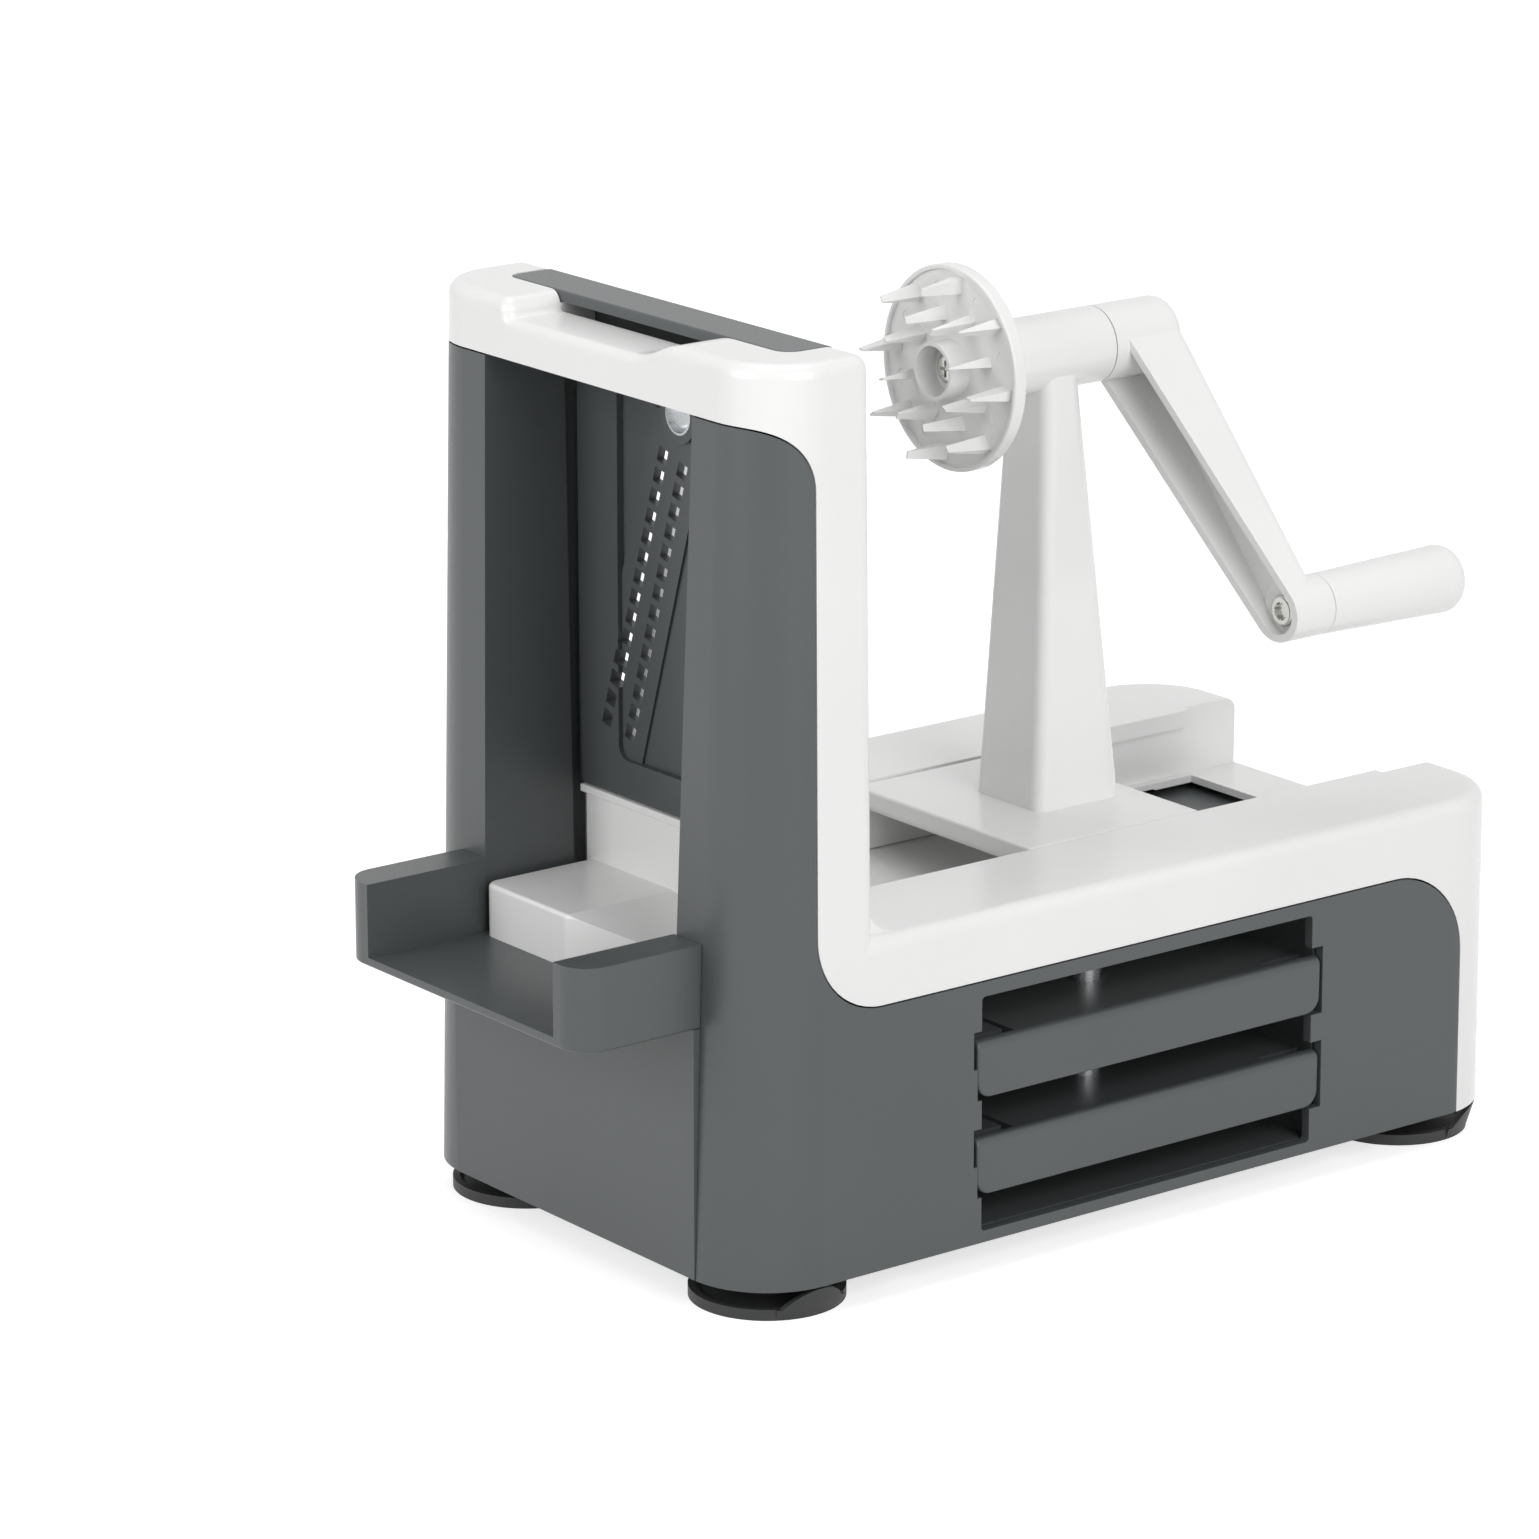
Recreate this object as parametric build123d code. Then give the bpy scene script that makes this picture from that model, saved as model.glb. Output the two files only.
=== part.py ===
"""Hand cranked spiralizer: upright frame with a slide-in cutting insert, a carriage on rails, a crank.

Frame: millimetres, +X from the outlet tray to the crank, +Y away from the storage bay, +Z up.
The origin is the middle of the footprint, on the surface that the suction feet stand on.
"""
from build123d import *
from math import cos, radians, sin, tan
import os

os.makedirs("parts", exist_ok=True)

# ---------------------------------------------------------------- body of the machine
foot_height = 9.0
body_length = 282.0
body_width = 161.0
corner_radius = 25.0
corner_radius_top = 20.0    # the front corners tighten towards the top bar
wall = 3.0
tray_reach = 38.0
deck_height = 74.2          # deck above the underside of the shell
deck_thickness = 2.2
rail_height = 94.9          # rail tops above the underside of the shell
rail_edge_radius = 4.0
channel_half = 44.2         # half the width between the rails
frame_height = 255.5        # top bar above the underside of the shell
frame_depth_low = 44.5
frame_depth_top = 35.4
front_lean = 6.9            # how far the front face leans back over the frame's height
side_draft = 2.2            # how far each side leans in over the frame's height
bar_depth = 17.3            # height of the white top bar
throat_half_top = 47.2      # half the width between the posts, under the top bar
frame_edge_radius = 4.0
frame_rear_radius = 4.5
root_radius = 9.0           # inside corner between the rail tops and the frame
finger_depth = 14.3         # recess under the insert's flange
dip_far = 37.2              # steep far end of the dip in the top bar
dip_near = 41.0             # where the dip's soft near end reaches the bar's top
dip_ramp = 23.0
dip_depth = 5.6
dip_crease = 1.4
dip_round = 3.0               # rounding of the front edge of the dip

# ---------------------------------------------------------------- split between grey shell and white housing
rear_band = 22.2            # white end behind the grey shell
grey_height = 75.4
grey_column = 23.1
grey_top_radius = 17.0
grey_root_radius = 22.6
grey_rear_radius = 26.0
shadow_gap = 0.5
lining_depth = 33.2
lining_skin = 6.0           # thickness of the throat's lining at the top bar
groove_wall = 3.2           # grey wall between the insert's groove and the hollow post

# ---------------------------------------------------------------- rails
lip_width = 3.0
lip_thickness = 5.2
lip_clear = 21.0            # open end of the channel behind the lips
window_rear = 20.0          # deck window's rear edge before the rear end
window_length = 40.0
window_half = 41.0
window_depth = 4.4
window_floor_thickness = 2.0

# ---------------------------------------------------------------- cutting inserts
insert_thickness = 4.0
insert_half = 46.5
insert_face = 37.0          # front face of the working insert behind the front face of the body
insert_margin = 17.0        # a stored insert is this much shorter than the body is wide
insert_gap = 0.3
flange_half = 63.2
flange_depth = 16.5
flange_back = 0.7
flange_thickness = 3.0
flange_corner = 5.0
flange_round = 2.2          # rounded outer edge of the flange, at the plate's back
insert_hold = 2.3           # how far the rims behind the plate reach over its edges
panel_side = 28.0           # sunk panel in the plate's front
panel_sill = 10.8
panel_head = 16.0
panel_floor = 1.8
panel_round = 4.0
blade_angle = 17.0          # lean of the radial blade from upright
blade_band = 24.0
blade_band_depth = 2.6
blade_width = 5.0
blade_thickness = 1.0
slit_width = 4.2
slit_pitch = 6.4
slit_height = 4.4
slit_offset = 4.6
core_ring = 8.0
core_bore = 5.0
core_wall = 0.6
core_stand = 4.5            # how far the core ring stands out of the plate's back
tooth_height = 3.0
tooth_thickness = 0.8

# ---------------------------------------------------------------- storage bay
bay_start = 80.3
bay_length = 121.6
bay_offset = 1.2            # the stored inserts sit this far behind the middle of the opening
bay_sill = 3.4
bay_head = 71.2
bay_corner = 1.2
bay_wall = 1.6
bay_end_gap = 3.0           # room behind a stored insert
bay_places = (29.3, 57.5)   # upper faces of the stored plates above the underside of the shell
bay_recess = 0.6            # how far the stored flanges lie behind the side face
bay_ledge = 2.0
seat_left = 1.6             # how far the seats run past the flanges
seat_right = 0.6
seat_rise = 3.2
seat_foot = 10.8            # the left edge of a seat stops this far below its plate

# ---------------------------------------------------------------- outlet
tray_height = 23.7
tray_top = 95.4
tray_half = 43.7
tray_wall = 12.2
tray_skin = 2.2
tray_floor = 2.6
tray_corner = 9.0
panel_proud = 0.4           # how far the upright panel stands before the foot of the posts
panel_gap = 0.15
panel_thickness = 3.0
sill_half = 43.5
sill_lip = 1.2
sill_lip_side = 1.2
sill_lip_height = 2.3
tongue_top = 89.6
tongue_start = 0.0
tongue_half = 42.0
tongue_ridge = 2.8
tongue_fall = 12.6          # how far the near slope falls from the ridge to the near side
tongue_cut = 25.0           # how far back the diverting face runs at the near side
tongue_corner = 4.0
tongue_edge = 1.2

# ---------------------------------------------------------------- feet and bottom plate
foot_radius = 21.8
foot_inset = 24.5
foot_rim = 3.2
foot_rim_thickness = 2.0
foot_stem_radius = 4.0
foot_neck_radius = 3.0
foot_skin = 1.6
tab_span = 62.0             # degrees round the rim
tab_turn_front = 90.0       # direction of the pull tabs from +X, outwards
tab_turn_rear = 55.0
tab_flare = 2.4
tab_thickness = 1.5
tab_rise = 5.2
plate_thickness = 2.0
plate_gap = 0.2
screw_front = 60.0          # front bottom screws behind the front face
screw_rear = 60.0           # rear bottom screws before the rear end
screw_inset = 9.0
screw_head_radius = 3.0
screw_radius = 1.5

# ---------------------------------------------------------------- carriage
carriage_start = 130.3
carriage_length = 63.0
carriage_half = 40.0
carriage_top = 94.7
carriage_plate_thickness = 4.7
chassis_inset = 5.7
chassis_half = 43.7
skid_width = 4.0
slide_gap = 0.4
tower_start = 154.7
tower_length = 31.3
tower_half = 15.0
tower_top_start = 160.5
tower_top_length = 12.0
tower_top_half = 9.5
tower_corner = 4.0
tower_wall = 2.5
axis_drop = 29.9            # crank axis below the top of the top bar
barrel_radius = 11.0
barrel_start = 137.0
barrel_end = 184.8
boss_radius = 4.0
boss_height = 22.0

# ---------------------------------------------------------------- crank, shaft and disc
shaft_radius = 3.0
shaft_flat = 0.8
running_gap = 0.05
bush_radius = 5.5
bush_length = 9.0
barrel_bore = 5.1
clip_radius = 4.6
clip_thickness = 0.8
clip_place = 149.0
shaft_end = 203.0
disc_screw_radius = 1.6
disc_screw_depth = 10.0
disc_screw_head = 4.4
disc_screw_head_height = 2.2
disc_radius = 29.5
disc_start = 132.0
disc_thickness = 4.2
disc_rim = 1.3
disc_dish = 1.1
disc_hub_radius = 8.0
spike_count = 8
spike_start_angle = 7.0
outer_spike_radius = 26.8
outer_spike_root = 4.6
inner_spike_radius = 18.0
inner_spike_root = 4.4
spike_length = 13.5
spike_thickness = 3.2
spike_tip = 0.5
disc_core_radius = 8.2
disc_core_height = 7.0
disc_core_wall = 1.0
mark_radius = 2.2
mark_orbit = 22.6
mark_depth = 0.25
crank_length = 94.2
crank_angle = 44.0          # from straight down towards the storage bay's side
crank_gap = 0.4
crank_end = 211.0
crank_end_low = 209.0
crank_front = 189.0
crank_front_low = 198.0
crank_edge_radius = 2.0
crank_back_radius = 4.0
arm_half_top = 9.6
arm_wall = 2.3
arm_web = 3.2
boss_end = 213.0
grip_boss_radius = 8.8
grip_gap = 0.4
grip_end = 265.0
grip_end_radius = 10.0
grip_round = 5.0
grip_axle_radius = 4.0
grip_axle_end = 252.0
axle_flange_radius = 6.0
axle_flange_thickness = 2.0
cap_radius = 7.0
grip_screw_radius = 2.5
grip_screw_head = 4.6
grip_screw_depth = 20.0

# ---------------------------------------------------------------- places worked out from the sizes above
front_x = -(body_length + tray_reach) / 2 + tray_reach
rear_x = front_x + body_length
half_width = body_width / 2
base_z = foot_height
deck_z = base_z + deck_height
rail_z = base_z + rail_height
frame_z = base_z + frame_height
bar_z = frame_z - bar_depth
axis_z = frame_z - axis_drop
insert_length = body_width - insert_margin
insert_foot = frame_height - insert_length
sill_top = insert_foot - insert_gap
bay_depth = insert_length + bay_end_gap
lip_z = rail_z - lip_thickness
grey_length = body_length - rear_band
lip_end = body_length - lip_clear
window_end = body_length - window_rear
window_start = window_end - window_length
insert_back = insert_face + insert_thickness
lining_half = throat_half_top + lining_skin
pocket_front = insert_back + flange_back - flange_depth - insert_gap
shaft_front = disc_start + disc_dish
grip_z = axis_z - crank_length
front_tan = front_lean / frame_height
side_tan = side_draft / frame_height


def x_at(behind_front):
    """Place along X of something measured back from the front face."""
    return front_x + behind_front


def z_at(above_shell):
    """Height of something measured up from the underside of the shell."""
    return base_z + above_shell


def block(x0, x1, y0, y1, z0, z1):
    """Box between two corners."""
    return Pos((x0 + x1) / 2, (y0 + y1) / 2, (z0 + z1) / 2) * Box(x1 - x0, y1 - y0, z1 - z0)


def rod(radius, x0, x1, y=0.0, z=axis_z):
    """Cylinder along X."""
    return Pos((x0 + x1) / 2, y, z) * (Rot(0, 90, 0) * Cylinder(radius, x1 - x0))


def post(radius, z0, z1, x, y):
    """Cylinder along Z."""
    return Pos(x, y, (z0 + z1) / 2) * Cylinder(radius, z1 - z0)


def plan(x0, x1, half, front_radius, rear_radius, z):
    """Rounded rectangle seen from above, at one height."""
    outline = Pos((x0 + x1) / 2, 0) * Rectangle(x1 - x0, 2 * half)
    if front_radius > 0:
        outline = fillet(outline.vertices().sort_by(Axis.X)[:2], front_radius)
    if rear_radius > 0:
        outline = fillet(outline.vertices().sort_by(Axis.X)[-2:], rear_radius)
    return Pos(0, 0, z) * outline


def upright(profile, y0, y1):
    """Extrude an outline that is drawn in X and Z from y0 to y1."""
    return Pos(0, y0, 0) * extrude(Plane.XZ * profile, -(y1 - y0))


def leaning(behind0, behind1, half, z0, z1):
    """Block between two planes that lean back with the front face, behind0 and behind1 from it."""
    low = front_x + (z0 - base_z) * front_tan
    high = front_x + (z1 - base_z) * front_tan
    side = make_face(Polyline((low + behind0, z0), (low + behind1, z0), (high + behind1, z1),
                              (high + behind0, z1), close=True))
    return upright(side, -half, half)


def frame_body(inset, top_z):
    """Leaning upright of the frame, pulled in by a wall on each side."""
    rise = top_z - base_z
    low = plan(front_x + inset, x_at(frame_depth_low) - inset, half_width - inset,
               corner_radius - inset, frame_rear_radius - inset / 2, base_z)
    high = plan(front_x + inset + rise * front_tan,
                x_at(frame_depth_low) - inset
                - rise * (frame_depth_low - frame_depth_top - front_lean) / frame_height,
                half_width - inset - rise * side_tan, corner_radius_top - inset,
                frame_rear_radius - inset / 2, top_z)
    return loft([low, high])


def lower_body(inset, top_z):
    """Long lower block behind the frame, pulled in by a wall on each side."""
    rise = top_z - base_z
    start = front_x + corner_radius + frame_edge_radius
    low = plan(start, rear_x - inset, half_width - inset, 0, corner_radius - inset, base_z)
    high = plan(start, rear_x - inset, half_width - inset - rise * side_tan, 0,
                corner_radius - inset, top_z)
    return loft([low, high])


def lower_cavity(top_z):
    """Hollow of the lower block, which runs from the front wall to the rear wall."""
    rise = top_z - base_z
    low = plan(front_x + wall, rear_x - wall, half_width - wall, corner_radius - wall,
               corner_radius - wall, base_z)
    high = plan(front_x + wall + rise * front_tan, rear_x - wall,
                half_width - wall - rise * side_tan, corner_radius - wall,
                corner_radius - wall, top_z)
    return loft([low, high])


def on_dip_front(spot):
    """Whether a spot lies on the front edge of the dip's flat floor."""
    return abs(spot.Z - frame_z + dip_depth) < 0.05 and spot.X < x_at(front_lean + 4.0)


def bar_dip():
    """Dip in the top bar before the flange: a steep far end, a flat floor and a soft near end."""
    floor = frame_z - dip_depth
    turn = floor + dip_crease
    bend = dip_crease * (1 - cos(radians(45)))
    crown = dip_depth - dip_crease
    round_off = crown * (1 - cos(radians(45)))
    soft = Spline((-dip_near, frame_z), (dip_ramp - dip_near, floor), tangents=((1, 0), (1, 0)))
    edge = soft + Line((dip_ramp - dip_near, floor), (dip_far - dip_crease, floor))
    edge += ThreePointArc((dip_far - dip_crease, floor), (dip_far - bend, floor + bend),
                          (dip_far, turn))
    edge += ThreePointArc((dip_far, turn), (dip_far + round_off, frame_z - round_off),
                          (dip_far + crown, frame_z))
    edge += Polyline((dip_far + crown, frame_z), (dip_far + crown, frame_z + 3),
                     (-dip_near, frame_z + 3), (-dip_near, frame_z))
    return Pos(front_x - 1.0, 0, 0) * extrude(Plane.YZ * make_face(edge), pocket_front + 1.0)


def body_blank():
    """Outside of the machine: leaning frame, lower block and the root between them."""
    lower = lower_body(0.0, rail_z)
    rim = lower.faces().sort_by(Axis.Z)[-1].edges().sort_by(Axis.X)[1:]
    lower = fillet(rim, rail_edge_radius)
    frame = frame_body(0.0, frame_z)
    frame = fillet(frame.faces().sort_by(Axis.Z)[-1].edges(), frame_edge_radius) - bar_dip()
    frame = fillet([edge for edge in frame.edges() if on_dip_front(edge.center())], dip_round)
    back = x_at(frame_depth_low) - 1.0
    reach = half_width - (rail_height + root_radius) * side_tan - rail_edge_radius
    root = block(back, back + root_radius, -reach, reach, rail_z - 1.0, rail_z + root_radius)
    scoop = Pos(back + root_radius, 0, rail_z + root_radius) * (
        Rot(90, 0, 0) * Cylinder(root_radius, 2 * reach + 2))
    return frame + lower + (root - scoop)


def throat():
    """Open space between the posts, and the narrower opening behind the insert's plate."""
    mouth = Plane.YZ * make_face(Polyline(
        (-channel_half, deck_z), (channel_half, deck_z), (throat_half_top, bar_z),
        (-throat_half_top, bar_z), close=True))
    front = Pos(front_x - 1.0, 0, 0) * extrude(mouth, lining_depth + 2.0)
    hold = insert_half - insert_hold
    rear = block(x_at(insert_back) - 0.5, x_at(frame_depth_low) + 1, -hold, hold, deck_z,
                 frame_z + 1)
    return front + rear


def channel():
    """Space between the rails, undercut below the lips."""
    start = x_at(frame_depth_low) - 1.0
    gap = channel_half - lip_width
    under = block(start, rear_x + 1, -channel_half, channel_half, deck_z, lip_z)
    between = block(start, x_at(lip_end), -gap, gap, deck_z, rail_z + root_radius + 1)
    lead_in = block(x_at(lip_end), rear_x + 1, -channel_half, channel_half, deck_z, rail_z + 1)
    return under + between + lead_in


def insert_slot():
    """Guides for the working insert: deep grooves in the posts, slot and flange pocket in the bar."""
    plate_back = x_at(insert_back + insert_gap)
    reach = lining_half - groove_wall
    grooves = block(x_at(lining_depth), plate_back, -reach, reach, deck_z, bar_z)
    side = insert_half + insert_gap
    slot = block(x_at(insert_face) - insert_gap, plate_back, -side, side, bar_z - 1, frame_z + 1)
    pocket = block(x_at(pocket_front), x_at(frame_depth_low) + 1,
                   -flange_half - insert_gap, flange_half + insert_gap,
                   frame_z - flange_thickness - insert_gap, frame_z + 1)
    front = pocket.edges().filter_by(Axis.Z).sort_by(Axis.X)[:2]
    return grooves + slot + fillet(front, flange_corner + insert_gap)


def finger_recess():
    """Recess in the top bar under the insert's flange, reached over the dip."""
    return block(x_at(pocket_front), x_at(insert_face), -dip_near, dip_far,
                 frame_z - finger_depth, frame_z + 1)


def hollows():
    """Insides of the shell: lower space, rails, posts and the ends of the top bar."""
    low = lower_cavity(rail_z - wall)
    low -= block(front_x - 1, rear_x + 1, -channel_half - wall, channel_half + wall,
                 deck_z - deck_thickness, rail_z)
    low -= block(front_x - 1, x_at(frame_depth_low), -lining_half, lining_half,
                 deck_z - deck_thickness, rail_z)
    posts = frame_body(wall, frame_z - wall)
    posts -= block(front_x - 1, x_at(frame_depth_low) + 1, -lining_half, lining_half,
                   base_z - 1, frame_z)
    over = block(x_at(pocket_front) - wall,
                 x_at(frame_depth_low) + 1, -flange_half - wall, flange_half + wall,
                 frame_z - flange_thickness - wall, frame_z)
    return low + (posts - over)


def grey_region(grow):
    """Side outline of the grey shell, swept through the body and grown by a gap."""
    outline = Polygon((front_x - 5, base_z - 5), (x_at(grey_length), base_z - 5),
                      (x_at(grey_length), z_at(grey_height)), (x_at(grey_column), z_at(grey_height)),
                      (x_at(grey_column), bar_z), (front_x - 5, bar_z), align=None)
    corners = outline.vertices()
    rear = corners.sort_by_distance((x_at(grey_length), z_at(grey_height), 0))[0]
    outline = fillet(rear, grey_rear_radius)
    root = outline.vertices().sort_by_distance((x_at(grey_column), z_at(grey_height), 0))[0]
    outline = fillet(root, grey_root_radius)
    top = outline.vertices().sort_by_distance((x_at(grey_column), bar_z, 0))[0]
    outline = fillet(top, grey_top_radius)
    if grow:
        outline = offset(outline, grow)
    skin = upright(outline, -half_width - 1, half_width + 1)
    rails = channel_half + wall - grow
    skin -= block(x_at(insert_face) + grow, rear_x + 1, -rails, rails,
                  deck_z - deck_thickness + grow, rail_z)
    lining = block(front_x - 1, x_at(insert_back) + grow, -lining_half - grow, lining_half + grow,
                   deck_z - deck_thickness - grow, bar_z + grow)
    return skin + lining


def bay_opening():
    """Opening of the storage bay in the side wall, with a seat for each stored flange."""
    mouth = Pos(x_at(bay_start + bay_length / 2), (z_at(bay_sill) + z_at(bay_head)) / 2) * (
        RectangleRounded(bay_length, bay_head - bay_sill, bay_corner))
    opening = upright(mouth, -half_width - 1, -half_width + wall + 2.0)
    mid = x_at(bay_start + bay_length / 2 + bay_offset)
    back = -half_width + bay_recess + flange_thickness + insert_gap
    left, right = mid - flange_half, mid + flange_half
    for place in bay_places:
        top = z_at(place) + flange_back + seat_rise
        foot = z_at(place) + flange_back - flange_depth - insert_gap
        opening += block(left - seat_left, right + seat_right, -half_width - 1, back,
                         top - seat_foot, top)
        opening += block(left - insert_gap, right + seat_right, -half_width - 1, back, foot, top)
    return opening


def front_opening():
    """Place of the tray's front panel in the shell's front wall."""
    half = tray_half + tray_wall + panel_gap
    return block(front_x - 1, front_x + panel_thickness + panel_gap, -half, half, base_z - 1,
                 z_at(tray_top - tray_height) + panel_gap / 3)


def base_shell(body):
    """Grey lower shell with the front posts and the lining of the throat."""
    shell = body & grey_region(0.0)
    shell -= block(front_x - 1, x_at(insert_face), -channel_half, channel_half,
                   deck_z - deck_thickness - shadow_gap, deck_z)
    shell -= bay_opening()
    shell -= front_opening()
    return shell + window_floor()


def window_floor():
    """Grey shelf that shows through the window in the deck."""
    top = deck_z - window_depth
    low = top - window_floor_thickness
    half = half_width - wall + 0.5
    arc_end = x_at(grey_length - grey_rear_radius)
    shelf = block(x_at(window_start) - 8, arc_end, -half, half, low, top)
    shelf = shelf & lower_body(wall - 0.5, top + 1)
    inner = window_half + 5
    return shelf + block(arc_end - 1, x_at(window_end) + 5, -inner, inner, low, top)


def upper_housing(body):
    """White housing: rails, deck, rear end, backs of the posts and the top bar."""
    housing = body - grey_region(shadow_gap)
    housing -= front_opening()
    housing -= block(x_at(window_start), x_at(window_end), -window_half, window_half,
                     deck_z - deck_thickness - 1, deck_z + 1)
    return housing


def outlet_tray():
    """Grey U-shaped tray and the upright front panel below it, one moulding."""
    top = z_at(tray_top)
    low = top - tray_height
    outer_half = tray_half + tray_wall
    face = front_x - panel_proud
    tray = block(front_x - tray_reach, x_at(panel_thickness), -outer_half, outer_half, low, top)
    tray = fillet(tray.edges().filter_by(Axis.Z).sort_by(Axis.X)[:2], tray_corner)
    for rim in (tray.faces().sort_by(Axis.Z)[-1], tray.faces().sort_by(Axis.Z)[0]):
        tray = fillet(rim.edges().sort_by(Axis.X)[:-1], 0.8)
    tray -= leaning(-panel_gap, frame_depth_low, outer_half + 1, low + panel_gap, top + 1)
    tray -= block(front_x - tray_reach - 1, front_x + frame_depth_low, -tray_half, tray_half,
                  low + tray_floor, top + 1)
    for side in (-1, 1):
        y_out = side * (outer_half - tray_skin)
        y_in = side * (tray_half + tray_skin)
        tray -= block(front_x - tray_reach + tray_corner, face - tray_skin, min(y_in, y_out),
                      max(y_in, y_out), low - 1, top - tray_skin)
    apron = block(face, x_at(insert_face) - panel_gap, -channel_half + 0.2, channel_half - 0.2,
                  low + 0.2, low + tray_floor)
    panel = block(face, face + panel_thickness, -outer_half, outer_half, base_z + plate_gap,
                  low + panel_gap / 3)
    return tray + apron + panel


def tongue():
    """Faceted tongue: flat far side, falling near side and an upright diverting face."""
    floor = z_at(tray_top - tray_height) + tray_floor
    top = z_at(tongue_top)
    start = x_at(tongue_start)
    back = x_at(insert_face) + 0.5
    foot = make_face(Polyline(
        (start, tongue_half), (start, tongue_ridge), (start + tongue_cut, -tongue_half),
        (back, -tongue_half), (back, tongue_half), close=True))
    corner = foot.vertices().sort_by_distance((start, tongue_half, 0))[0]
    foot = fillet(corner, tongue_corner)
    apex = foot.vertices().sort_by_distance((start, tongue_ridge, 0))[0]
    foot = fillet(apex, tongue_corner)
    body = extrude(Pos(0, 0, floor) * foot, top - floor)
    brow = body.faces().sort_by(Axis.Z)[-1].edges().filter_by(GeomType.LINE)
    body = fillet(brow.sort_by_distance((start, tongue_half / 2, top))[0], tongue_edge)
    slope = Plane.YZ * make_face(Polyline(
        (tongue_ridge, top), (-tongue_half - 1, top - tongue_fall),
        (-tongue_half - 1, top + 1), (tongue_ridge, top + 1), close=True))
    return body - Pos(start - 1, 0, 0) * extrude(slope, back - start + 2)


def outlet_chute():
    """White block under the working insert, with the tongue that lies in the tray."""
    floor = z_at(tray_top - tray_height) + tray_floor
    face = x_at(insert_face)
    back = x_at(insert_back + insert_gap)
    sill = block(face, back, -sill_half, sill_half, floor, z_at(sill_top))
    ledge = sill_half + sill_lip_side
    lip = block(face - sill_lip, back, -ledge, ledge, z_at(sill_top - sill_lip_height),
                z_at(sill_top))
    lip = fillet(lip.edges().filter_by(Axis.Y).sort_by(Axis.X)[:2], 0.4)
    return sill + lip + tongue()


def bottom_plate():
    """Plate that closes the underside and carries the feet and the screws."""
    inset = wall + plate_gap
    sheet = plan(front_x + inset + panel_thickness, rear_x - inset, half_width - inset,
                 corner_radius - inset, corner_radius - inset, base_z)
    plate = extrude(sheet, plate_thickness)
    for x, y in foot_places():
        plate -= post(foot_neck_radius, base_z - 1, base_z + 5, x, y)
    for x, y in screw_places():
        plate -= post(screw_radius + 0.1, base_z - 1, base_z + 5, x, y)
    return plate


def foot_places():
    """Centres of the four feet."""
    reach_x = (x_at(foot_inset), rear_x - foot_inset)
    reach_y = (-half_width + foot_inset, half_width - foot_inset)
    return [(x, y) for x in reach_x for y in reach_y]


def screw_places():
    """Screws of the bottom plate, two along each side."""
    rows = (x_at(screw_front), rear_x - screw_rear)
    return [(x, side * (half_width - screw_inset)) for x in rows for side in (-1, 1)]


def suction_foot(x, y):
    """Rubber dish with its stem through the bottom plate and a pull tab that flares from the rim."""
    cup_top = base_z - 0.1
    rim_in = foot_radius - foot_rim_thickness
    outer = make_face(Polyline(
        (0, 0.6), (rim_in, 0.0), (foot_radius, 0.0), (foot_radius, foot_rim), (rim_in, foot_rim),
        (rim_in - 1.2, 2.0), (11.0, 3.4), (6.5, cup_top - 1.2), (6.5, cup_top), (0, cup_top),
        close=True))
    dome = make_face(Polyline((0, -0.5), (rim_in - 0.6, -0.5), (rim_in - 0.6, 0.0), (9.0, 1.9),
                              (0, 2.4), close=True))
    cup = revolve(Plane.XZ * outer, Axis.Z) - revolve(Plane.XZ * dome, Axis.Z)
    neck = post(foot_neck_radius, cup_top - 1, base_z + plate_thickness, 0, 0)
    knob = post(foot_stem_radius, base_z + plate_thickness, base_z + plate_thickness + 3.0, 0, 0)
    low = foot_radius - tab_thickness
    high = foot_rim + tab_rise
    side = make_face(Polyline((low, 0.4), (low + tab_thickness, 0.4),
                              (low + tab_thickness + tab_flare, high), (low + tab_flare, high),
                              close=True))
    tab = revolve(Plane.XZ * side, Axis.Z, tab_span)
    tab = Rot(0, 0, -tab_span / 2) * tab
    reach = (foot_radius + tab_flare) * sin(radians(tab_span / 2))
    hood = Pos(foot_radius, 0, high - reach) * (Rot(0, 90, 0) * Cylinder(reach, 12))
    hood += block(foot_radius - 8, foot_radius + 8, -reach - 1, reach + 1, 0, foot_rim)
    tab = tab & hood
    turn = (tab_turn_front if x < 0 else tab_turn_rear) * (-1 if y < 0 else 1)
    return Pos(x, y, 0) * (cup + neck + knob + Rot(0, 0, turn) * tab)


def bottom_screws():
    """Self-tapping screws of the bottom plate, heads below, tips in the shell's bosses."""
    screws = [post(screw_head_radius, base_z - 1.6, base_z, x, y)
              + post(screw_radius, base_z, base_z + 12.0, x, y) for x, y in screw_places()]
    return Compound(children=screws)


def shell_bosses():
    """Bosses along the side walls that take the bottom plate's screws."""
    top = base_z + 16.0
    bosses = []
    for x, y in screw_places():
        side = 1 if y > 0 else -1
        web = block(x - 1.2, x + 1.2, min(y, side * (half_width - wall + 0.8)),
                    max(y, side * (half_width - wall + 0.8)), base_z + plate_thickness, top)
        hole = post(screw_radius, base_z, base_z + 12.0, x, y)
        bosses.append(post(3.6, base_z + plate_thickness, top, x, y) + web - hole)
    return bosses


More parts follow.
